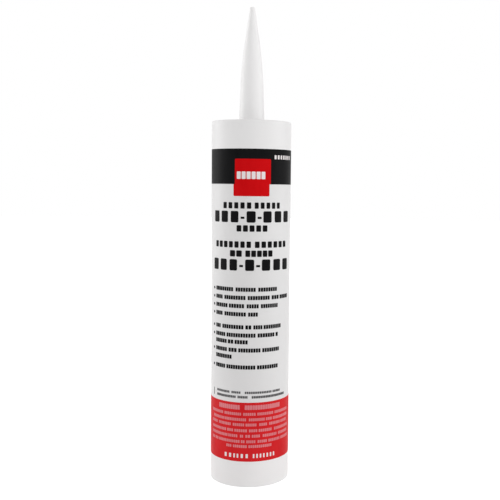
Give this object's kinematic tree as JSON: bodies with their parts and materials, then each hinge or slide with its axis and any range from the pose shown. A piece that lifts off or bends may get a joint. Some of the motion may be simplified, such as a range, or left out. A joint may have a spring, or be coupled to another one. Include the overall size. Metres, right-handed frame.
{
  "type": "caulk tube",
  "caption": "Caulking cartridge: white barrel with printed bands, long tapered nozzle with a closed tip, and a plunger that slides up the open rear end behind the sealant.",
  "frame": {"origin": "centre of the rear rim, in the plane that the cartridge stands on", "axes": "+Z along the cartridge from the rear rim to the nozzle's tip; the front of the print faces -Y"},
  "size_m": [0.0492, 0.0492, 0.2925],
  "materials": {
    "white_plastic": "satin moulded polyethylene",
    "plunger_plastic": "soft matte polyethylene",
    "sealant_paste": "wet white paste",
    "dark_print": "satin black ink",
    "red_print": "satin red ink"
  },
  "bodies": {
    "cartridge": {"cartridge": "white_plastic", "sealant": "sealant_paste", "dark_band": "dark_print", "red_emblem": "red_print", "red_band": "red_print"},
    "plunger": {"plunger": "plunger_plastic"}
  },
  "joints": [
    {"name": "plunger_slide", "type": "slide", "parent": "cartridge", "child": "plunger", "axis": [0, 0, 1], "range_m": [0, 0.175], "deforming": ["sealant"]}
  ]
}
